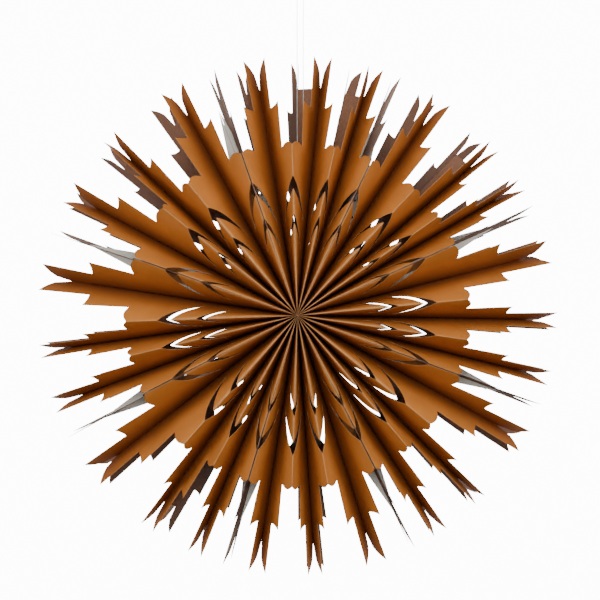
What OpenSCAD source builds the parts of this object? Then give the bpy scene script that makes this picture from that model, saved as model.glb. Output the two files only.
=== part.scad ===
// Paper snowflake: 24 pleats in eight glued segments round an open hub,
// with a joint sheet and a pair of middle leaves between segments.
// Millimetres, Z up. The star faces -Y and the origin is the inside of
// the top of its hanging loop.

/* [Star] */
// Radius of the star at its points
star_radius = 250; // [236:1:290]
// Depth of a front or back panel from valley to ridge
panel_depth = 53; // [30:1:60]
// Roundness of a panel towards its ridge
panel_round = 0.55; // [0:0.05:0.8]
// Depth of the glued wall between front and back valleys
wall_depth = 14; // [8:1:20]
// Radius of the open hub
hub_radius = 4; // [4:0.5:8]

/* [Paper] */
// Thickness of one sheet
paper = 0.25; // [0.15:0.05:0.25]
// Thickness of a glue line between two sheets
glue_line = 0.02; // [0.01:0.01:0.03]

/* [Cut edge] */
// Radius of the valley notch
notch_radius = 223.5; // [216:0.5:230]
// Foot of the riser below a point
point_foot_radius = 202.5; // [198:0.5:205]
// Radius of the spike next to the riser
spike_radius = 207; // [206:0.5:212]
// Foot of the riser below a spike
spike_foot_radius = 162; // [156:0.5:167]
// Crest of the scallop beside a ridge
scallop_radius = 166; // [163:0.5:172]
// Outer end of a ridge
ridge_radius = 163; // [158:0.5:168]
// Place of a point across its panel, valley 0 and ridge 1
point_across = 0.26; // [0.22:0.01:0.3]
// Place of a spike across its panel
spike_across = 0.53; // [0.5:0.01:0.56]

/* [Chevrons] */
// Apex of the outer chevron on a ridge
outer_apex_radius = 133; // [130:0.5:138]
// Tongue inside the outer chevron
outer_tongue_radius = 120.5; // [117:0.5:125]
// Arm end of the outer chevron
outer_arm_radius = 89.5; // [85:0.5:92]
// Apex of the inner chevron on a ridge
inner_apex_radius = 96.5; // [93:0.5:100]
// Tongue inside the inner chevron
inner_tongue_radius = 87.5; // [85:0.5:90]
// Arm end of the inner chevron
inner_arm_radius = 63.5; // [60:0.5:67]
// Place of the inner arm end across its panel
inner_arm_across = 0.4; // [0.36:0.01:0.44]

/* [Middle leaves] */
// Outer tip of a middle leaf
leaf_tip_radius = 216.5; // [205:0.5:220]
// Widening of a leaf towards the hub, per unit of radius
leaf_slope = 0.16; // [0.12:0.01:0.2]
// Diameter of the two punched holes
punch_diameter = 2; // [1:0.5:3]

/* [Hanging thread] */
// Diameter of the thread
thread_diameter = 0.6; // [0.4:0.1:0.8]
// Height of the loop above the star's centre
loop_height = 318; // [310:1:380]
// Height of the glued knot above the star's centre
knot_height = 116; // [112:1:120]
// Radius of the glued knot
knot_radius = 1.15; // [1:0.05:1.3]
// Distance between the two strands
strand_gap = 6; // [5:0.5:7]
// Distance of the loop to the right of the star's centre
loop_shift = 2.8; // [2.6:0.1:3]

/* [Hidden] */

copper = [0.75, 0.45, 0.14];
copper_deep = [0.66, 0.38, 0.12];
pale_grey = [0.70, 0.67, 0.61];
clear_nylon = [0.93, 0.94, 0.95];

half_wall = wall_depth / 2;
hub = [-loop_shift, 0, -loop_height];

// Directions of the folds in degrees, seen from the front, anticlockwise
// from +X. A row is one segment: ridge, valley, ridge, valley and so on.
front_folds = [
    [24.3, 30.2, 35.1, 40.5, 47.2, 56.5, 64.4],
    [64.4, 73.0, 77.4, 84.2, 91.8, 99.5, 109.0],
    [109.0, 118.8, 129.6, 137.0, 141.3, 152.0, 160.6],
    [160.6, 171.4, 182.0, 188.0, 193.5, 200.3, 207.0],
    [207.0, 217.8, 228.6, 234.5, 240.7, 246.6, 253.4],
    [253.4, 261.0, 268.2, 274.0, 280.3, 287.5, 297.0],
    [297.0, 303.3, 310.0, 314.6, 320.8, 331.2, 339.8],
    [339.8, 346.0, 351.9, 359.0, 365.4, 374.0, 384.3],
];
back_folds = [
    [23.8, 30.8, 37.7, 45.2, 51.0, 59.0, 67.5],
    [67.5, 77.8, 82.6, 89.9, 96.4, 102.9, 112.0],
    [112.0, 122.8, 132.9, 139.8, 143.6, 153.0, 160.6],
    [160.6, 171.4, 181.7, 187.6, 193.2, 200.2, 207.5],
    [207.5, 218.7, 230.8, 237.4, 241.9, 246.2, 254.5],
    [254.5, 261.0, 268.2, 274.0, 280.3, 287.5, 296.8],
    [296.8, 303.0, 309.4, 313.8, 319.8, 330.0, 339.4],
    [339.4, 346.5, 351.9, 358.5, 365.5, 374.9, 383.8],
];
// Direction of each joint sheet where it crosses the middle of the star
joint_middles = [24.4, 67.2, 111.0, 161.2, 207.9, 254.2, 296.3, 339.6];

// Outline of half a pleat as [place across, radius], from the hub end of
// the valley round the cut edge and the chevrons to the hub again
outline = [
    [0, hub_radius],
    [0, notch_radius],
    [point_across / 2, notch_radius * 0.27 + star_radius * 0.73],
    [point_across, star_radius],
    [point_across, point_foot_radius],
    [(point_across + spike_across) / 2,
        point_foot_radius * 0.7 + spike_radius * 0.3],
    [spike_across, spike_radius],
    [spike_across, spike_foot_radius],
    [0.77, scallop_radius],
    [1, ridge_radius],
    [1, outer_apex_radius],
    [0.62, outer_apex_radius * 0.63 + outer_arm_radius * 0.37],
    [point_across, outer_arm_radius],
    [0.62, outer_tongue_radius * 0.58 + outer_arm_radius * 0.42],
    [1, outer_tongue_radius],
    [1, inner_apex_radius],
    [0.7, inner_apex_radius * 0.62 + inner_arm_radius * 0.38],
    [inner_arm_across, inner_arm_radius],
    [0.7, inner_tongue_radius * 0.57 + inner_arm_radius * 0.43],
    [1, inner_tongue_radius],
    [1, hub_radius],
    [inner_arm_across, hub_radius],
];
corners = len(outline);
panel_tris = [
    [0, 1, 2], [2, 3, 4], [0, 2, 4], [0, 4, 12], [0, 12, 17], [0, 17, 21],
    [12, 4, 5], [5, 6, 7], [12, 5, 7], [12, 7, 11], [11, 7, 8], [11, 8, 10],
    [10, 8, 9], [17, 12, 13], [17, 13, 16], [16, 13, 14], [16, 14, 15],
    [21, 17, 18], [21, 18, 20], [20, 18, 19],
];
chevron_tris = [
    [12, 11, 13], [13, 11, 10], [13, 10, 14],
    [17, 16, 18], [18, 16, 15], [18, 15, 19],
];
pierced_rim = [for (i = [1:corners - 1]) [i, (i + 1) % corners]];
plain_rim = [
    for (i = [1:9]) [i, i + 1],
    [10, 14], [14, 15], [15, 19], [19, 20], [20, 21], [21, 0],
];

function mix(a, b, u) = a + (b - a) * u;
// Share of a panel's depth reached at a place across it: panels are rounder
// towards their ridge and steeper towards their valley
function rounded(u) = u * (1 + panel_round - panel_round * u);
function along(angle) = [cos(angle), 0, sin(angle)];
function aside(angle) = [-sin(angle), 0, cos(angle)];
function turned(tri) = [tri[2], tri[1], tri[0]];
function quad(a, b, c, d) = [[a, b, c], [a, c, d]];
function shifted(faces, by) = [for (f = faces) [for (i = f) i + by]];

// One face of a half pleat: valley and ridge are [direction, offset]
function panel_points(valley, ridge, front) = [
    for (p = outline)
        let (angle = mix(valley[0], ridge[0], p[0]),
             offset = mix(valley[1], ridge[1], p[0]),
             depth = half_wall + panel_depth * rounded(p[0]))
        hub + p[1] * along(angle) + offset * aside(angle) + [0, front ? -depth : depth, 0]
];

// The wall's line in the middle of the star, hub end and notch
function wall_points(angle, offset) = [
    for (r = [hub_radius, notch_radius]) hub + r * along(angle) + offset * aside(angle)
];

// A full sheet is a front half pleat, the wall and a back half pleat. Each
// place is [front direction, back direction, lower offset, upper offset].
function sheet_points(valley, ridge) = [
    each panel_points([valley[0], valley[2]], [ridge[0], ridge[2]], true),
    each panel_points([valley[0], valley[3]], [ridge[0], ridge[3]], true),
    each panel_points([valley[1], valley[2]], [ridge[1], ridge[2]], false),
    each panel_points([valley[1], valley[3]], [ridge[1], ridge[3]], false),
    each wall_points((valley[0] + valley[1]) / 2, valley[2]),
    each wall_points((valley[0] + valley[1]) / 2, valley[3]),
];
sheet_size = 4 * corners + 4;

function sheet_faces(tris, rim) =
    let (front_low = 0, front_up = corners, back_low = 2 * corners, back_up = 3 * corners,
         mid_low = 4 * corners, mid_up = mid_low + 2)
    [
        each shifted(tris, front_up),
        each shifted([for (t = tris) turned(t)], front_low),
        each shifted(tris, back_low),
        each shifted([for (t = tris) turned(t)], back_up),
        for (e = rim)
            each quad(front_up + e[1], front_up + e[0], front_low + e[0], front_low + e[1]),
        for (e = rim)
            each quad(back_up + e[0], back_up + e[1], back_low + e[1], back_low + e[0]),
        each quad(front_up + 1, front_up, mid_up, mid_up + 1),
        each quad(mid_up + 1, mid_up, back_up, back_up + 1),
        each quad(front_low + 1, mid_low + 1, mid_low, front_low),
        each quad(mid_low + 1, back_low + 1, back_low, mid_low),
        each quad(front_up + 1, mid_up + 1, mid_low + 1, front_low + 1),
        each quad(mid_up + 1, back_up + 1, back_low + 1, mid_low + 1),
        each quad(mid_up, front_up, front_low, mid_low),
        each quad(back_up, mid_up, mid_low, back_low),
    ];

// Offsets of a sheet on one side of a glue line, and beside a joint sheet
upper_side = [glue_line / 2, glue_line / 2 + paper];
lower_side = [-upper_side[1], -upper_side[0]];
upper_of_joint = [paper / 2 + glue_line, paper * 1.5 + glue_line];
lower_of_joint = [-upper_of_joint[1], -upper_of_joint[0]];

// Six sheets folded at two ridges and glued in three walls
module segment(k) {
    front = front_folds[k];
    back = back_folds[k];
    sheets = [
        for (j = [0:5])
            let (first = j % 2 == 0,
                 v = j - j % 2 + 1,
                 r = first ? v - 1 : v + 1,
                 wall = first ? lower_side : upper_side,
                 fold = j == 0 ? upper_of_joint : j == 5 ? lower_of_joint
                     : first ? upper_side : lower_side)
            sheet_points([front[v], back[v], wall[0], wall[1]],
                [front[r], back[r], fold[0], fold[1]])
    ];
    faces = sheet_faces(panel_tris, pierced_rim);
    color(k % 2 == 0 ? copper : copper_deep)
        polyhedron(
            points = [for (s = sheets) each s],
            faces = [for (j = [0:5]) each shifted(faces, sheet_size * j)],
            convexity = 12);
}

// A plain sheet with the same cut edge, glued between two segments
module joint_sheet(k) {
    middle = joint_middles[k];
    color(copper)
        polyhedron(
            points = sheet_points(
                [middle, middle, -paper / 2, paper / 2],
                [front_folds[k][0], back_folds[k][0], -paper / 2, paper / 2]),
            faces = sheet_faces([each panel_tris, each chevron_tris], plain_rim),
            convexity = 6);
}

// A leaf in the star's middle plane, beside a joint sheet. The side is 1
// towards larger directions and -1 towards smaller ones.
leaf_inner = 20;
leaf_play = 0.3;
punches = [[110, 13.5], [126, 8.6]];
module leaf(middle, wall, side) {
    tip = leaf_tip_radius;
    base = paper / 2 + glue_line;
    turn = abs(wall - middle);
    back_off = paper + glue_line / 2 + leaf_play;
    meet = (leaf_slope * (tip - back_off * sin(turn)) + base + back_off * cos(turn))
        / (sin(turn) + leaf_slope * cos(turn));
    function on_wall(r) = [r * cos(turn) + back_off * sin(turn),
        r * sin(turn) - back_off * cos(turn)];
    rotate(middle)
        scale([1, side])
            difference() {
                polygon([[leaf_inner, base], [tip, base], on_wall(meet), on_wall(leaf_inner)]);
                for (p = punches)
                    let (r = p[0],
                         room = min(leaf_slope * (tip - r), on_wall(r)[1]))
                    translate([r, min(p[1], room * 0.72)])
                        circle(d = punch_diameter, $fn = 8);
            }
}

module web(k) {
    before = (k + 7) % 8;
    turn = k == 0 ? 360 : 0;
    lower_wall = (front_folds[before][5] + back_folds[before][5]) / 2 - turn;
    upper_wall = (front_folds[k][1] + back_folds[k][1]) / 2;
    color(pale_grey)
        translate(hub)
            rotate([90, 0, 0])
                linear_extrude(paper, center = true) {
                    leaf(joint_middles[k], lower_wall, -1);
                    leaf(joint_middles[k], upper_wall, 1);
                }
}

// Route of the thread as [x, z, radius]: the knot, up, round the loop, down
thread_radius = thread_diameter / 2;
knot_wall = (front_folds[1][3] + back_folds[1][3]) / 2;
knot_flat = 0.35 * knot_radius;
knot = [
    (knot_height - knot_flat) / tan(knot_wall) - paper - 1.5 * glue_line - knot_radius - loop_shift,
    knot_height - loop_height,
];
knot_rise = [[-1.3, 0.3], [-0.95, 0.7], [-0.35, 1], [0.35, 1], [0.95, 0.7]];
neck = 1.4 * knot_radius;
strand_x = strand_gap / 2;
bend_z = thread_radius - strand_x;
strand_rise = [[0.15, 8], [0.4, 19], [0.75, 36], [0.95, 52], [1, 70], [1, 110], [1, 150]];
function strand(side, x) = [
    for (p = strand_rise)
        [mix(x, side * strand_x, p[0]), knot[1] + p[1], thread_radius]
];
bend = [
    for (a = [180:-22.5:0])
        [strand_x * cos(a), bend_z + strand_x * sin(a), thread_radius]
];
falling_x = knot[0] + thread_diameter + glue_line;
falling = strand(1, falling_x);
route = [
    for (p = knot_rise) [knot[0], knot[1] + knot_radius * p[0], knot_radius * p[1]],
    [knot[0], knot[1] + neck, thread_radius],
    each strand(-1, knot[0]),
    each bend,
    for (i = [len(falling) - 1:-1:0]) falling[i],
    [falling_x, knot[1] + neck + 0.15, thread_radius],
];

// Tube of eight sides swept along the route in the plane y = 0
module hanging_thread() {
    sides = 8;
    n = len(route);
    rings = [
        for (i = [0:n - 1])
            let (a = route[max(i - 1, 0)],
                 b = route[min(i + 1, n - 1)],
                 d = [b[0] - a[0], b[1] - a[1]] / norm([b[0] - a[0], b[1] - a[1]]))
            for (s = [0:sides - 1])
                let (q = 360 * s / sides)
                [route[i][0], 0, route[i][1]]
                    + route[i][2] * [-d[1] * cos(q), sin(q), d[0] * cos(q)]
    ];
    color(clear_nylon)
        polyhedron(
            points = rings,
            faces = [
                for (i = [0:n - 2], s = [0:sides - 1])
                    let (here = i * sides, t = (s + 1) % sides)
                    each quad(here + t, here + sides + t, here + sides + s, here + s),
                for (s = [1:sides - 2]) [0, s + 1, s],
                for (s = [1:sides - 2])
                    [(n - 1) * sides, (n - 1) * sides + s, (n - 1) * sides + s + 1],
            ]);
}

segment(0);  // segment_1
segment(1);  // segment_2
segment(2);  // segment_3
segment(3);  // segment_4
segment(4);  // segment_5
segment(5);  // segment_6
segment(6);  // segment_7
segment(7);  // segment_8
joint_sheet(0);  // joint_sheet_1
joint_sheet(1);  // joint_sheet_2
joint_sheet(2);  // joint_sheet_3
joint_sheet(3);  // joint_sheet_4
joint_sheet(4);  // joint_sheet_5
joint_sheet(5);  // joint_sheet_6
joint_sheet(6);  // joint_sheet_7
joint_sheet(7);  // joint_sheet_8
web(0);  // web_1
web(1);  // web_2
web(2);  // web_3
web(3);  // web_4
web(4);  // web_5
web(5);  // web_6
web(6);  // web_7
web(7);  // web_8
hanging_thread();
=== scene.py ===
"""Paper snowflake: a hanging star of pleated copper card, in the frame of its CAD model."""
import math

import bpy
import numpy as np
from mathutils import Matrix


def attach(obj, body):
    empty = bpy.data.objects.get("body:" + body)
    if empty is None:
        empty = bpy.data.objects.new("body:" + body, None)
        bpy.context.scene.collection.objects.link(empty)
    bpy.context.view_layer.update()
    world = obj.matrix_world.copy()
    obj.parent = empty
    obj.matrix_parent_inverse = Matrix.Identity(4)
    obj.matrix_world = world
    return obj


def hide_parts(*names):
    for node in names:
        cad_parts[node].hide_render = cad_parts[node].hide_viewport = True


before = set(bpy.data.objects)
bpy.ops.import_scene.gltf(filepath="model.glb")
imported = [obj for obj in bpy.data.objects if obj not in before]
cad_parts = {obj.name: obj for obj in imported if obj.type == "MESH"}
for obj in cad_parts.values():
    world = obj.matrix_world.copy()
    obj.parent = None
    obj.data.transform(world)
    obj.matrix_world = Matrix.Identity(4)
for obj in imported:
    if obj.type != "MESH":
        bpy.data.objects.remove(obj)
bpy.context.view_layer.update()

bl_info = {
    "name": "Paper Snowflake",
    "version": (1, 0, 0),
    "blender": (4, 5, 0),
    "location": "3D View > Sidebar > Snowflake",
    "description": "Builds a pleated paper star with its hanging thread and stage",
    "category": "Add Mesh",
}

MM = 0.001

# Directions of the folds in degrees, one row a segment: ridge, valley, ridge
FRONT_FOLDS = (
    (24.3, 30.2, 35.1, 40.5, 47.2, 56.5, 64.4),
    (64.4, 73.0, 77.4, 84.2, 91.8, 99.5, 109.0),
    (109.0, 118.8, 129.6, 137.0, 141.3, 152.0, 160.6),
    (160.6, 171.4, 182.0, 188.0, 193.5, 200.3, 207.0),
    (207.0, 217.8, 228.6, 234.5, 240.7, 246.6, 253.4),
    (253.4, 261.0, 268.2, 274.0, 280.3, 287.5, 297.0),
    (297.0, 303.3, 310.0, 314.6, 320.8, 331.2, 339.8),
    (339.8, 346.0, 351.9, 359.0, 365.4, 374.0, 384.3),
)
BACK_FOLDS = (
    (23.8, 30.8, 37.7, 45.2, 51.0, 59.0, 67.5),
    (67.5, 77.8, 82.6, 89.9, 95.3, 102.9, 107.2),
    (112.0, 122.8, 132.9, 139.8, 145.6, 153.0, 160.6),
    (160.6, 171.4, 181.7, 187.6, 193.2, 200.2, 207.5),
    (207.5, 218.7, 230.8, 237.4, 245.0, 246.2, 254.5),
    (254.5, 261.0, 266.7, 274.0, 281.8, 287.5, 296.8),
    (296.8, 303.0, 309.4, 313.8, 319.8, 330.0, 339.4),
    (339.4, 346.5, 351.9, 358.5, 365.5, 374.9, 383.8),
)
JOINT_MIDDLES = (24.4, 67.2, 111.0, 161.2, 207.9, 254.2, 296.3, 339.6)
# Middle direction of each joint sheet, and how far its front and back halves bow, in mm
JOINT_BOWS = ((24.2, 4.5, -4.5), (67.9, -3.2, 2.0), (109.7, -5.5, 1.0), (161.4, 1.8, -5.0),
              (207.8, 2.5, -2.5), (254.4, -5.0, 2.0), (296.3, 2.5, -2.0), (339.5, 2.5, -4.0))
# Sheets, as (segment, sheet), whose back points stand straight back
STRAIGHT_POINTS = {(1, 1), (1, 2)}

# Places across a half pleat, valley 0 and ridge 1
COLUMNS = np.array([0, 0.065, 0.13, 0.195, 0.26, 0.33, 0.4, 0.465, 0.53,
                    0.61, 0.69, 0.77, 0.85, 0.93, 1.0])
POINT_ACROSS = 0.26
ARM_ACROSS = 0.4
SPIKE_ACROSS = 0.53
HAIR = 1e-9  # rounding error allowed when places across are compared

# Cuts, in millimetres. A chevron has the radius of its arm ends, and for each of its two
# edges how much farther out the apex lies and how much the edge bows between the two.
INNER_CHEVRON = (63.5, ((24.0, 1.8), (33.0, 4.2)))
OUTER_CHEVRON = (89.5, ((31.0, 3.2), (43.5, 6.6)))
SCALLOP_RADIUS = 162.0
SCALLOP_RISE = 3.6
SPIKE_RADIUS = 202.5
SPIKE_RISE = 4.5
POINT_POWER = 0.45

# Rows of quads in each band of card, hub to point
HUB_ROWS, MIDDLE_ROWS, SCALLOP_ROWS, SPIKE_ROWS, POINT_ROWS = 6, 4, 6, 4, 4

# Shape of the sheets, in millimetres
STRAIGHT_FROM, STRAIGHT_OVER = 158, 16  # where back points begin to stand straight, and over what
STRAIGHT_SHARE = 0.93
BOW_RADIUS, BOW_POWER = 250, 1.5
SQUEEZE_RADIUS, SQUEEZE_LEAST = 6.0, 0.06  # within this radius sheets are squeezed, to this share
JOINT_GAP_RADIUS = 60  # the shadow gap beside a joint sheet closes at this radius

SEGMENTS = 8
SHEETS = 6  # in a segment

# Thread, in millimetres
THREAD_RADIUS = 0.3
LOOP_WIDTH = 6.0
KNOT_RADIUS = 1.15
KNOT_HEIGHT = 116.0
# Share of the way out to its strand of the loop, and height above the knot
THREAD_RISE = np.array([[0.15, 8], [0.4, 19], [0.75, 36], [0.95, 52], [1, 70], [1, 110], [1, 150]])
# Height above the knot's middle and radius of its profile, in knot radii
KNOT_PROFILE = np.array([[-1.3, 0.3], [-1.12, 0.55], [-0.95, 0.74], [-0.7, 0.9], [-0.35, 1],
                         [0, 0.94], [0.35, 1], [0.7, 0.9], [0.95, 0.74], [1.15, 0.55],
                         [1.36, 0.27]])

# Picture: its width, and how far the hub stands left of and below its middle, in pixels
PICTURE_WIDTH = 600
HUB_LEFT, HUB_BELOW = 2.7, 15.5

# Backdrop, in metres: half its side, its place behind the star, and its curve
BACKDROP_HALF = 4.0
BACKDROP_BEHIND = 0.9
BACKDROP_CURVE = 0.03
BACKDROP_SIDE = 9  # points along a side


class StarSettings(bpy.types.PropertyGroup):
    """Sizes of the star in millimetres, and its colours. The hub is closed, the points are
    2 mm longer and the glue lines are shut, where its CAD model has gaps."""
    hub_x: bpy.props.FloatProperty(
        name="Hub X", description="Star's centre to the right of the loop", default=-2.8)
    hub_z: bpy.props.FloatProperty(
        name="Hub Z", description="Star's centre above the loop", default=-318.0)
    half_wall: bpy.props.FloatProperty(
        name="Half wall", description="Half depth of the glued walls", default=7.0)
    panel_depth: bpy.props.FloatProperty(
        name="Panel depth", description="Valley to ridge", default=53.0)
    roundness: bpy.props.FloatProperty(
        name="Roundness", description="How much rounder a panel is towards its ridge", default=0.55)
    hub_radius: bpy.props.FloatProperty(
        name="Hub radius", description="Radius of the open hub", default=0.05)
    point_radius: bpy.props.FloatProperty(
        name="Points", description="Radius of the points", default=252.0)
    notch_radius: bpy.props.FloatProperty(
        name="Notches", description="Radius of the valley notches", default=223.5)
    paper: bpy.props.FloatProperty(
        name="Card", description="Thickness of the card", default=0.25)
    glue: bpy.props.FloatProperty(
        name="Glue line", description="Gap between glued sheets", default=0.0)
    joint_gap: bpy.props.FloatProperty(
        name="Joint gap", description="Shadow gap in front beside a joint sheet", default=0.55)
    bow: bpy.props.FloatProperty(
        name="Bow", description="Most that a panel bows at the rim", default=1.1)
    copper: bpy.props.FloatVectorProperty(
        name="Copper", description="Colour of the card", subtype="COLOR", size=3,
        default=(0.54, 0.185, 0.032))
    # Painted shade: the copper is blended to this dark colour towards each valley, in place of the shade in
    # the creases.
    valley: bpy.props.FloatVectorProperty(
        name="Valley", description="Colour of the card deep in the valleys", subtype="COLOR", size=3,
        default=(0.11, 0.018, 0.008))
    # Painted shade: the reverse faces inside the pleats get this darker, duller brown in place of the copper,
    # which lies in shade there.
    inside: bpy.props.FloatVectorProperty(
        name="Inside", description="Colour of the card's uncoated side", subtype="COLOR", size=3,
        default=(0.25, 0.115, 0.068))
    plain: bpy.props.FloatVectorProperty(
        name="Joint sheets", description="Colour of the joint sheets", subtype="COLOR", size=3,
        default=(0.40, 0.26, 0.20))
    edge: bpy.props.FloatVectorProperty(
        name="Cut edge", description="Colour of folds and cut edges", subtype="COLOR", size=3,
        default=(0.70, 0.34, 0.12))
    grey: bpy.props.FloatVectorProperty(
        name="Middle leaves", description="Colour of the leaves between segments", subtype="COLOR", size=3,
        default=(0.93, 0.89, 0.78))


class StageSettings(bpy.types.PropertyGroup):
    """Camera and light of the stage."""
    distance: bpy.props.FloatProperty(
        name="Camera distance", description="From the star's middle", default=1.7, unit="LENGTH")
    lens: bpy.props.FloatProperty(
        name="Lens", description="Focal length in millimetres", default=103.66)
    key: bpy.props.FloatProperty(
        name="Key light", description="Power of the top light in watts", default=13.0)
    fill: bpy.props.FloatProperty(
        name="Fill light", description="Power of each side light in watts", default=17.0)
    air: bpy.props.FloatProperty(
        name="Surround", description="Strength of the light from all round", default=0.07)
    backdrop: bpy.props.FloatProperty(
        name="Backdrop", description="Glow of the backdrop", default=13.0)


class Wire:
    """A value in a node tree that can be used in Python arithmetic."""

    def __init__(self, tree, socket):
        self.tree, self.socket = tree, socket

    def step(self, operation, *values, clamp=False):
        node = self.tree.nodes.new("ShaderNodeMath")
        node.operation = operation
        node.use_clamp = clamp
        for slot, value in zip(node.inputs, values):
            join(self.tree, slot, value)
        return Wire(self.tree, node.outputs[0])

    def __add__(self, other): return self.step("ADD", self, other)
    def __radd__(self, other): return self.step("ADD", other, self)
    def __sub__(self, other): return self.step("SUBTRACT", self, other)
    def __rsub__(self, other): return self.step("SUBTRACT", other, self)
    def __mul__(self, other): return self.step("MULTIPLY", self, other)
    def __rmul__(self, other): return self.step("MULTIPLY", other, self)
    def __truediv__(self, other): return self.step("DIVIDE", self, other)
    def __pow__(self, other): return self.step("POWER", self, other)
    def __abs__(self): return self.step("ABSOLUTE", self)

    def ramp(self, low, high):
        """0 below low, 1 above high and straight between; high may be the smaller."""
        return self.step("MULTIPLY", self - low, 1 / (high - low), clamp=True)


def join(tree, slot, value):
    if isinstance(value, Wire):
        tree.links.new(value.socket, slot)
    else:
        slot.default_value = value


class Finish:
    """A material under construction, with one Principled surface."""

    def __init__(self, name):
        self.material = bpy.data.materials.new(name)
        self.material.use_nodes = True
        self.tree = self.material.node_tree
        self.surface = self.tree.nodes["Principled BSDF"]

    def node(self, kind, settings, sockets, output=0):
        node = self.tree.nodes.new(kind)
        for name, value in settings.items():
            setattr(node, name, value)
        for name, value in sockets.items():
            join(self.tree, node.inputs[name], value)
        return Wire(self.tree, node.outputs[output])

    def place(self):
        """The point's Object coordinates as three values, and the vector itself."""
        spot = self.node("ShaderNodeTexCoord", {}, {}, "Object")
        return spot, [self.node("ShaderNodeSeparateXYZ", {}, {"Vector": spot}, i) for i in range(3)]

    def noise(self, spot, scale, detail=3.0, roughness=0.55):
        return self.node("ShaderNodeTexNoise", {"noise_dimensions": "3D"},
                         {"Vector": spot, "Scale": scale, "Detail": detail, "Roughness": roughness}, 0)

    def blend(self, share, first, second):
        """A colour between two, by a share from 0 to 1."""
        rgba = [c if isinstance(c, Wire) else (*c, 1.0) for c in (first, second)]
        return self.node("ShaderNodeMix", {"data_type": "RGBA"}, {0: share, 6: rgba[0], 7: rgba[1]}, 2)

    def set(self, **sockets):
        for name, value in sockets.items():
            join(self.tree, self.surface.inputs[name.replace("_", " ")], value)

    def bump(self, height, strength, distance):
        return self.node("ShaderNodeBump", {}, {"Strength": strength, "Distance": distance, "Height": height})


def copper_finish(name, sizes):
    """Copper card: mottled colour, with painted shade that darkens it towards the valleys and near the hub,
    paler on the folds from wear of the coating and, near the hub, a painted highlight, with fine grain in the
    relief. near is 1 at the hub, fold 0 in a valley and 1 at a ridge."""
    card = Finish(name)
    spot, (x, y, z) = card.place()
    across, up = x - sizes.hub_x * MM, z - sizes.hub_z * MM
    near = ((across * across + up * up) ** 0.5).ramp(150 * MM, 30 * MM)
    depth = abs(y)
    lit_depth = (0.62 + 0.38 * near) * (sizes.panel_depth * MM)
    fold = ((depth - sizes.half_wall * MM) / lit_depth).ramp(0, 1)
    ridge = (sizes.half_wall + sizes.panel_depth) * MM
    mottle = card.noise(spot, 26.0, 4.0)
    grain = card.noise(spot, 900.0, 2.0, 0.7)
    fibre = card.noise(spot, 240.0, 3.0)
    darker, lighter = [[min(1, c * k) for c in sizes.copper] for k in (0.90, 1.10)]
    tone = card.blend(mottle.ramp(0.35, 0.7), darker, lighter)
    tone = card.blend(0.10 * grain.ramp(0.3, 0.8), tone, sizes.edge)
    # Paler along each ridge: wear of the coating on the fold, widened near the hub into a painted highlight
    # of the bright ridges there.
    rubbed = (depth - ridge + 7.0 * MM * near).ramp(-0.8 * MM, 3.0 * MM)
    wear_and_highlight = rubbed * (0.5 + 0.4 * fibre.ramp(0.3, 0.6))
    # Painted shade: the colour darkens towards each valley, and more near the hub, in place of the shade in
    # the creases.
    shade = (1 - fold) ** 1.2 * (0.86 + 0.02 * near) + 0.12 * near
    tone = card.blend(shade, tone, sizes.valley)
    tone = card.blend(wear_and_highlight, tone, sizes.edge)
    relief = 0.7 * grain + 0.5 * fibre
    card.set(Base_Color=tone, Roughness=0.46 + 0.12 * fibre + 0.2 * wear_and_highlight,
             Metallic=0.22 - 0.2 * wear_and_highlight, Specular_IOR_Level=0.3, Normal=card.bump(relief, 0.18, 0.0004))
    return card.material


def inside_finish(name, sizes, colour):
    """Dull card with paper fibre: the joint sheets, and the reverse faces of the sheets inside the pleats,
    whose darker brown than the copper is painted shade.
    """
    inside = Finish(name)
    spot, _ = inside.place()
    fibre = inside.noise(spot, 380.0, 3.0)
    mottle = inside.noise(spot, 30.0, 3.0)
    tone = inside.blend(mottle.ramp(0.3, 0.7), [c * 0.88 for c in colour], colour)
    tone = inside.blend(0.12 * fibre.ramp(0.4, 0.7), tone, sizes.edge)
    inside.set(Base_Color=tone, Roughness=0.75, Normal=inside.bump(fibre, 0.2, 0.0003))
    return inside.material


def edge_finish(name, colour):
    """Cut card seen on its edge: paper fibre with a little of the coating rubbed over it."""
    edge = Finish(name)
    spot, _ = edge.place()
    fibre = edge.noise(spot, 700.0, 3.0)
    tone = edge.blend(fibre.ramp(0.3, 0.7), [c * 0.82 for c in colour], colour)
    edge.set(Base_Color=tone, Roughness=0.7, Normal=edge.bump(fibre, 0.3, 0.0002))
    return edge.material


def leaf_finish(name, sizes, direction):
    """Pale grey card with a copper strip beside the joint sheet on its inner half."""
    leaf = Finish(name)
    spot, (x, y, z) = leaf.place()
    across, up = x - sizes.hub_x * MM, z - sizes.hub_z * MM
    c, s = math.cos(math.radians(direction)), math.sin(math.radians(direction))
    along = across * c + up * s
    aside = abs(up * c - across * s)
    strip = aside.ramp(7.6 * MM, 7.0 * MM) * along.ramp(166 * MM, 162 * MM)
    fibre = leaf.noise(spot, 420.0, 3.0)
    mottle = leaf.noise(spot, 35.0, 3.0)
    tone = leaf.blend(mottle.ramp(0.3, 0.7), [c * 0.92 for c in sizes.grey], sizes.grey)
    tone = leaf.blend(0.12 * fibre.ramp(0.4, 0.7), tone, (0.8, 0.77, 0.7))
    tone = leaf.blend(strip, tone, [c * 0.7 for c in sizes.copper])
    leaf.set(Base_Color=tone, Roughness=0.68 - 0.2 * strip, Metallic=0.4 * strip,
             Normal=leaf.bump(fibre, 0.2, 0.0003))
    return leaf.material


def thread_finish(name):
    """Clear nylon thread: pale, slick and nearly see-through."""
    nylon = Finish(name)
    spot, _ = nylon.place()
    streak = nylon.noise(spot, 300.0, 2.0)
    tone = nylon.blend(streak, (0.78, 0.78, 0.76), (0.9, 0.9, 0.9))
    nylon.set(Base_Color=tone, Roughness=0.2 + 0.1 * streak, Alpha=0.75 + 0.1 * streak)
    return nylon.material


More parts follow.
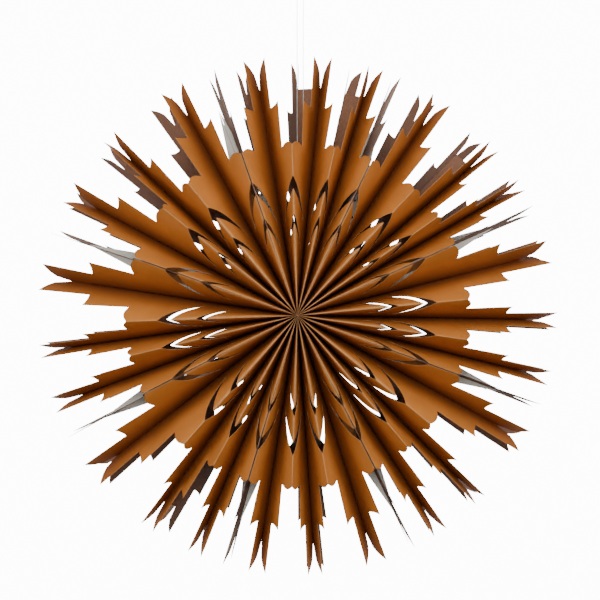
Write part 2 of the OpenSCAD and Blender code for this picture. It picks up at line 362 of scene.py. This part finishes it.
def mesh_piece(name, points, faces, kinds, finishes, sharp=0.45):
    """An object at the origin from arrays of points, quads and the finish number of each quad."""
    mesh = bpy.data.meshes.new(name)
    mesh.from_pydata(points.tolist(), [], faces.tolist())
    for finish in finishes:
        mesh.materials.append(finish)
    mesh.polygons.foreach_set("material_index", kinds.astype(np.int32))
    mesh.polygons.foreach_set("use_smooth", np.ones(len(faces), dtype=bool))
    mesh.set_sharp_from_angle(angle=sharp)
    mesh.update()
    piece = bpy.data.objects.new(name, mesh)
    bpy.context.collection.objects.link(piece)
    return piece


def cut_bands(u, sizes, pierced):
    """Radii of the bands of card at the places u across a half pleat, in millimetres; a
    band without an inner radius goes on from the one before it.

    The bands lie between the hub, the two chevrons, the scallop, the spike's curve and
    the point's curve. Chevron edges bow out a little between arm end and apex; the
    scallop is half a sine, and the point's curve rises as a power of u.
    """
    def share(start, end):
        return np.clip((u - start) / (end - start), 0, 1)

    def chevron(size, arm_across):
        arm_end, edges = size
        arm = share(arm_across, 1)
        return [arm_end + rise * arm + bow * np.sin(math.pi * arm) for rise, bow in edges]

    inner_low, inner_high = chevron(INNER_CHEVRON, ARM_ACROSS)
    outer_low, outer_high = chevron(OUTER_CHEVRON, POINT_ACROSS)
    edge = share(SPIKE_ACROSS, 1)
    scallop = SCALLOP_RADIUS + edge + SCALLOP_RISE * np.sin(math.pi * edge)
    spike = SPIKE_RADIUS + SPIKE_RISE * share(POINT_ACROSS, SPIKE_ACROSS) ** 2
    rise = share(0, POINT_ACROSS) ** POINT_POWER
    point = sizes.notch_radius + (sizes.point_radius - sizes.notch_radius) * rise
    hub = np.full_like(u, sizes.hub_radius)
    if not pierced:
        inner_high = outer_high = None
    return [(hub, inner_low, HUB_ROWS), (inner_high, outer_low, MIDDLE_ROWS),
            (outer_high, scallop, SCALLOP_ROWS), (None, spike, SPIKE_ROWS),
            (None, point, POINT_ROWS)]


def sheet_grid(sizes, pierced):
    """The grid that all sheets share: place across, depth, share of the way from front
    valley to back valley, side (-1 front, 1 back, between them in the wall), radius, and
    the quads and edge runs of the kept card. A pierced sheet has its chevrons cut out."""
    walls = np.array([-0.5, 0.0, 0.5])
    u = np.concatenate([COLUMNS[::-1], np.zeros(len(walls)), COLUMNS])
    side = np.concatenate([-np.ones(len(COLUMNS)), walls, np.ones(len(COLUMNS))])
    rounded = u * (1 + sizes.roundness - sizes.roundness * u)
    depth = side * np.where(np.abs(side) == 1, sizes.half_wall + sizes.panel_depth * rounded,
                            sizes.half_wall)
    turn = (side + 1) / 2
    rows, first_of_band = [], []
    for low, high, count in cut_bands(u, sizes, pierced):
        if low is None:
            steps = np.linspace(0, 1, count + 1)[1:]
            base = rows[-1]
        else:
            steps = np.linspace(0, 1, count + 1)
            base = low
            first_of_band.append(len(rows))
        rows.extend(base + (high - base) * t for t in steps)
    radius = np.array(rows)
    height, width = radius.shape
    index = np.arange(height * width).reshape(height, width)
    keep = np.ones((height - 1, width - 1), dtype=bool)
    widest = np.maximum(u[:-1], u[1:])
    for above, arm_end in zip(first_of_band[1:], (ARM_ACROSS, POINT_ACROSS)):
        index[above] = np.where(u <= arm_end + HAIR, index[above - 1], index[above])
        keep[above - 1] = False
    keep[-SPIKE_ROWS - POINT_ROWS:] &= widest <= SPIKE_ACROSS + HAIR
    keep[-POINT_ROWS:] &= widest <= POINT_ACROSS + HAIR
    quads = np.stack([index[:-1, :-1], index[1:, :-1], index[1:, 1:], index[:-1, 1:]], axis=-1)[keep]
    starts, ends = quads.ravel(), np.roll(quads, -1, axis=1).ravel()
    size = height * width
    open_edge = ~np.isin(starts * size + ends, ends * size + starts) & (starts != ends)
    return {"u": u, "depth": depth, "turn": turn, "side": side, "radius": radius,
            "quads": quads, "runs": np.stack([starts, ends], axis=1)[open_edge], "size": size}


def sheet_surface(grid, sizes, valley, ridge, wall_offset, fold_offset, bow, kinds,
                  straight=False):
    """Both faces and the rim of one full sheet, with the finish numbers of the face of
    smaller direction, the face of greater direction and the rim.

    A point lies at radius r in the direction that runs straight from the valley's to the
    ridge's as u goes from 0 to 1, moved sideways by its offset, at the depth of u. The bow
    moves it sideways by a sine of u that grows with r. The back points of a straight sheet
    hardly turn away from its valley. Near the hub the sheets are squeezed together, so
    that offsets shrink with r there.
    """
    u, turn, radius, front = grid["u"], grid["turn"], grid["radius"], grid["side"] < 0
    start = valley[0] + (valley[1] - valley[0]) * turn
    end = np.where(front, ridge[0], ridge[1])
    outer = np.clip((radius - STRAIGHT_FROM) / STRAIGHT_OVER, 0, 1)
    spread = 1 - STRAIGHT_SHARE * straight * (grid["side"] > 0) * outer
    angle = np.radians(start + (end - start) * u * spread)
    lean = np.where(front, bow[0], bow[1]) * np.sin(math.pi * u) * (radius / BOW_RADIUS) ** BOW_POWER
    squeeze = np.clip(radius / SQUEEZE_RADIUS, SQUEEZE_LEAST, 1.0)
    faces = []
    for k in (0, 1):
        offset = (wall_offset[k] + (fold_offset[k] - wall_offset[k]) * u) * squeeze + lean
        x = sizes.hub_x + radius * np.cos(angle) - offset * np.sin(angle)
        z = sizes.hub_z + radius * np.sin(angle) + offset * np.cos(angle)
        y = np.broadcast_to(grid["depth"], x.shape)
        faces.append(np.stack([x, y, z], axis=-1).reshape(-1, 3) * MM)
    size, quads, runs = grid["size"], grid["quads"], grid["runs"]
    rim = np.stack([runs[:, 1] + size, runs[:, 0] + size, runs[:, 0], runs[:, 1]], axis=1)
    return (np.concatenate(faces),
            np.concatenate([quads[:, ::-1], quads + size, rim]),
            np.repeat(kinds, (len(quads), len(quads), len(rim))))


def joined(parts):
    """Several (points, faces, kinds) as one, without the points that no face uses."""
    shift = np.cumsum([0] + [len(p[0]) for p in parts[:-1]])
    points = np.concatenate([p[0] for p in parts])
    faces = np.concatenate([p[1] + s for p, s in zip(parts, shift)])
    kinds = np.concatenate([p[2] for p in parts])
    used, compact = np.unique(faces, return_inverse=True)
    return points[used], compact.reshape(faces.shape), kinds


def upper_side(sizes):
    """Offsets of a sheet's two faces, on the side of greater direction of a glue line."""
    return sizes.glue / 2, sizes.glue / 2 + sizes.paper


def beside_joint(grid, sizes):
    """Offsets of an end sheet at the ridge, with a shadow gap in front that closes to the hub."""
    opening = (grid["side"] < 0) * np.clip(grid["radius"] / JOINT_GAP_RADIUS - 1, 0, 1)
    near = sizes.paper / 2 + sizes.joint_gap * opening
    return near, near + sizes.paper


def mirrored(pair):
    """The same offsets on the other side of the line."""
    return -pair[1], -pair[0]


def put_in_place(piece, node):
    """Tie a piece to its body, and hide the CAD node it stands for."""
    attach(piece, "root")
    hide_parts(node)


class SNOWFLAKE_OT_camera(bpy.types.Operator):
    """Add the camera on the star's axis"""
    bl_idname = "snowflake.camera"
    bl_label = "Camera"

    def execute(self, context):
        star, stage = context.scene.snowflake_star, context.scene.snowflake_stage
        data = bpy.data.cameras.new("camera")
        data.lens = stage.lens
        data.shift_x = HUB_LEFT / PICTURE_WIDTH
        data.shift_y = HUB_BELOW / PICTURE_WIDTH
        data.clip_end = 20
        data.dof.use_dof = False
        camera = bpy.data.objects.new("camera", data)
        camera.location = (star.hub_x * MM, -stage.distance, star.hub_z * MM)
        camera.rotation_euler = (math.pi / 2, 0, 0)
        context.collection.objects.link(camera)
        context.scene.camera = camera
        return {"FINISHED"}


def thread_route(sizes):
    """Centre line of the thread from its knot, up, round the loop and down again, and the
    knot's middle as X and Z, in metres. The knot lies against segment 2's middle wall."""
    wall = math.radians((FRONT_FOLDS[1][3] + BACK_FOLDS[1][3]) / 2)
    knot_x = ((KNOT_HEIGHT - 0.35 * KNOT_RADIUS) / math.tan(wall) - sizes.paper
              - 1.5 * sizes.glue - KNOT_RADIUS + sizes.hub_x)
    knot_z = KNOT_HEIGHT + sizes.hub_z
    turn = np.radians(np.arange(180, -1, -22.5))
    half = LOOP_WIDTH / 2

    def strand(side, x):
        return np.stack([x + (side * half - x) * THREAD_RISE[:, 0], knot_z + THREAD_RISE[:, 1]],
                        axis=1)

    bend = np.stack([half * np.cos(turn), THREAD_RADIUS - half + half * np.sin(turn)], axis=1)
    fall_x = knot_x + 2 * THREAD_RADIUS + sizes.glue
    foot_z = knot_z + 1.4 * KNOT_RADIUS
    line = np.concatenate([[[knot_x, foot_z]], strand(-1, knot_x), bend,
                           strand(1, fall_x)[::-1], [[fall_x, foot_z + 0.15]]])
    route = np.stack([line[:, 0], np.zeros(len(line)), line[:, 1]], axis=1) * MM
    return route, (knot_x * MM, knot_z * MM)


def tube_surface(line, radii, sides=10):
    """A tube in the plane y = 0: rings of even steps about each point of the line, at right
    angles to the chord through its neighbours, with a closed fan at either end."""
    ahead = np.concatenate([line[1:], line[-1:]]) - np.concatenate([line[:1], line[:-1]])
    ahead /= np.linalg.norm(ahead, axis=1)[:, None]
    turn = np.arange(sides) * 2 * math.pi / sides
    out = np.stack([ahead[:, 2], np.zeros(len(line)), -ahead[:, 0]], axis=1)
    rings = (line[:, None] + radii[:, None, None] *
             (out[:, None] * np.cos(turn)[None, :, None]
              + np.array([0, 1, 0]) * np.sin(turn)[None, :, None]))
    index = np.arange(len(line) * sides).reshape(len(line), sides)
    around = np.roll(index, -1, axis=1)
    quads = np.stack([index[:-1], around[:-1], around[1:], index[1:]], axis=-1).reshape(-1, 4)
    half = np.arange(sides // 2 - 1)
    fan = np.stack([sides - 1 - half, sides - 2 - half, 1 + half, half], axis=1)
    caps = np.concatenate([fan, index[-1, 0] + fan[:, ::-1]])
    return rings.reshape(-1, 3), np.concatenate([quads, caps]), np.zeros(len(quads) + len(caps))


class SNOWFLAKE_OT_thread(bpy.types.Operator):
    """Add the clear hanging thread and its knot"""
    bl_idname = "snowflake.thread"
    bl_label = "Hanging thread"

    def execute(self, context):
        star = context.scene.snowflake_star
        nylon = thread_finish("clear_nylon")
        line, (knot_x, knot_z) = thread_route(star)
        radii = np.full(len(line), THREAD_RADIUS * MM)
        thread = mesh_piece("thread", *tube_surface(line, radii), [nylon], sharp=1.2)
        swell = KNOT_PROFILE * KNOT_RADIUS * MM
        core = np.stack([np.full(len(swell), knot_x), np.zeros(len(swell)), knot_z + swell[:, 0]],
                        axis=1)
        knot = mesh_piece("thread_knot", *tube_surface(core, swell[:, 1], 12), [nylon], sharp=1.2)
        put_in_place(thread, "hanging_thread")
        put_in_place(knot, "hanging_thread")
        return {"FINISHED"}


class SNOWFLAKE_OT_segments(bpy.types.Operator):
    """Add the eight pleated segments"""
    bl_idname = "snowflake.segments"
    bl_label = "Segments"

    def execute(self, context):
        star = context.scene.snowflake_star
        card = copper_finish("copper_card", star)
        edge = edge_finish("card_edge", [c * 0.75 for c in star.edge])
        # Painted shade: the reverse faces inside the pleats get a darker brown than the copper.
        inside = inside_finish("card_inside", star, star.inside)
        grid = sheet_grid(star, True)
        dice = np.random.default_rng(11)
        up, beside = upper_side(star), beside_joint(grid, star)
        for k in range(SEGMENTS):
            front, back = FRONT_FOLDS[k], BACK_FOLDS[k]
            sheets = []
            for j in range(SHEETS):
                # The first sheet of each pleat has its ridge before its valley
                first = j % 2 == 0
                v = j - j % 2 + 1
                r = v - 1 if first else v + 1
                ridge_side = beside if j in (0, SHEETS - 1) else up
                wall = mirrored(up) if first else up
                fold = ridge_side if first else mirrored(ridge_side)
                bow = star.bow * dice.uniform(-0.6, 1.0, 2) * (-1 if first else 1)
                kinds = (2, 0, 1) if first else (0, 2, 1)
                sheets.append(sheet_surface(grid, star, (front[v], back[v]), (front[r], back[r]),
                                            wall, fold, bow, kinds, (k, j) in STRAIGHT_POINTS))
            piece = mesh_piece(f"pleats_{k + 1}", *joined(sheets), [card, edge, inside])
            put_in_place(piece, f"segment_{k + 1}")
        return {"FINISHED"}


class SNOWFLAKE_OT_joint_sheets(bpy.types.Operator):
    """Add the eight plain sheets between the segments"""
    bl_idname = "snowflake.joint_sheets"
    bl_label = "Joint sheets"

    def execute(self, context):
        star = context.scene.snowflake_star
        plain = inside_finish("plain_card", star, star.plain)
        dark = edge_finish("glued_edge", (0.09, 0.035, 0.012))
        grid = sheet_grid(star, False)
        half = star.paper / 2
        for k in range(SEGMENTS):
            middle, *bow = JOINT_BOWS[k]
            ridge = FRONT_FOLDS[k][0], BACK_FOLDS[k][0]
            sheet = sheet_surface(grid, star, (middle, middle), ridge,
                                  (-half, half), (-half, half), bow, (0, 0, 1))
            piece = mesh_piece(f"plain_sheet_{k + 1}", *joined([sheet]), [plain, dark])
            put_in_place(piece, f"joint_sheet_{k + 1}")
        return {"FINISHED"}


class SNOWFLAKE_OT_leaves(bpy.types.Operator):
    """Finish the grey leaves in the middle plane"""
    bl_idname = "snowflake.leaves"
    bl_label = "Middle leaves"

    def execute(self, context):
        star = context.scene.snowflake_star
        for k in range(SEGMENTS):
            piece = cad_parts[f"web_{k + 1}"]
            finish = leaf_finish(f"grey_leaf_{k + 1}", star, JOINT_MIDDLES[k])
            for slot in piece.material_slots:
                slot.material = finish
        return {"FINISHED"}


class SNOWFLAKE_OT_stage(bpy.types.Operator):
    """Add the backdrop and the soft lights"""
    bl_idname = "snowflake.stage"
    bl_label = "Stage"

    def execute(self, context):
        star, stage = context.scene.snowflake_star, context.scene.snowflake_stage
        hub = np.array([star.hub_x, 0, star.hub_z]) * MM
        steps = np.linspace(-1, 1, BACKDROP_SIDE) * BACKDROP_HALF
        wide, high = np.meshgrid(steps, steps, indexing="ij")
        sag = BACKDROP_BEHIND + BACKDROP_CURVE * (wide ** 2 + high ** 2)
        points = np.stack([hub[0] + wide, sag, hub[2] + high], axis=-1).reshape(-1, 3)
        index = np.arange(wide.size).reshape(wide.shape)
        quads = np.stack([index[:-1, :-1], index[1:, :-1], index[1:, 1:], index[:-1, 1:]],
                         axis=-1).reshape(-1, 4)
        paper = Finish("white_backdrop")
        seen = paper.node("ShaderNodeLightPath", {}, {}, "Is Camera Ray")
        behind = paper.node("ShaderNodeNewGeometry", {}, {}, "Backfacing")
        glow = paper.blend(seen, (0.02, 0.02, 0.02), (1.0, 1.0, 1.0))
        paper.set(Base_Color=(0.4, 0.4, 0.4, 1.0), Roughness=1.0, Emission_Color=glow,
                  Emission_Strength=stage.backdrop, Alpha=1 - behind)
        backdrop = mesh_piece("backdrop", points, quads, np.zeros(len(quads)), [paper.material])
        lamps = (("top", stage.key, (0.1, -1.0, 1.5), 1.1, (1.0, 0.98, 0.95)),
                 ("left", stage.fill, (-1.7, -1.0, 0.3), 1.0, (1.0, 1.0, 1.0)),
                 ("right", stage.fill, (1.7, -1.0, 0.3), 1.0, (1.0, 1.0, 1.0)),
                 ("front", 2.6 * stage.fill, (0.0, -2.4, 0.4), 1.4, (1.0, 1.0, 1.0)))
        for name, power, offset, size, tint in lamps:
            data = bpy.data.lights.new(name, "AREA")
            data.energy, data.size, data.color = power, size, tint
            lamp = bpy.data.objects.new(name, data)
            lamp.location = hub + np.array(offset)
            aim = -np.array(offset)
            tilt = math.acos(-aim[2] / np.linalg.norm(aim))
            lamp.rotation_euler = (tilt, 0, math.atan2(aim[0], -aim[1]) + math.pi)
            context.collection.objects.link(lamp)
        world = bpy.data.worlds.new("studio")
        world.use_nodes = True
        air = world.node_tree.nodes["Background"]
        air.inputs["Color"].default_value = (1.0, 0.99, 0.97, 1.0)
        path = world.node_tree.nodes.new("ShaderNodeLightPath")
        seen = Wire(world.node_tree, path.outputs["Is Camera Ray"])
        join(world.node_tree, air.inputs["Strength"], stage.air + (stage.backdrop - stage.air) * seen)
        context.scene.world = world
        return {"FINISHED"}


class SNOWFLAKE_PT_panel(bpy.types.Panel):
    """Steps and sizes of the paper snowflake"""
    bl_label = "Paper Snowflake"
    bl_idname = "SNOWFLAKE_PT_panel"
    bl_space_type = "VIEW_3D"
    bl_region_type = "UI"
    bl_category = "Snowflake"

    def draw(self, context):
        for group in (context.scene.snowflake_star, context.scene.snowflake_stage):
            for name in group.__annotations__:
                self.layout.prop(group, name)
        for operator in OPERATORS:
            self.layout.operator(operator.bl_idname)


OPERATORS = (SNOWFLAKE_OT_camera, SNOWFLAKE_OT_thread, SNOWFLAKE_OT_segments,
             SNOWFLAKE_OT_joint_sheets, SNOWFLAKE_OT_leaves, SNOWFLAKE_OT_stage)
CLASSES = (StarSettings, StageSettings, *OPERATORS, SNOWFLAKE_PT_panel)


def register():
    for cls in CLASSES:
        bpy.utils.register_class(cls)
    bpy.types.Scene.snowflake_star = bpy.props.PointerProperty(type=StarSettings)
    bpy.types.Scene.snowflake_stage = bpy.props.PointerProperty(type=StageSettings)


def unregister():
    del bpy.types.Scene.snowflake_stage
    del bpy.types.Scene.snowflake_star
    for cls in reversed(CLASSES):
        bpy.utils.unregister_class(cls)


def main():
    register()
    bpy.ops.snowflake.camera()
    bpy.ops.snowflake.thread()
    bpy.ops.snowflake.segments()
    bpy.ops.snowflake.joint_sheets()
    bpy.ops.snowflake.leaves()
    bpy.ops.snowflake.stage()


if __name__ == "__main__":
    main()
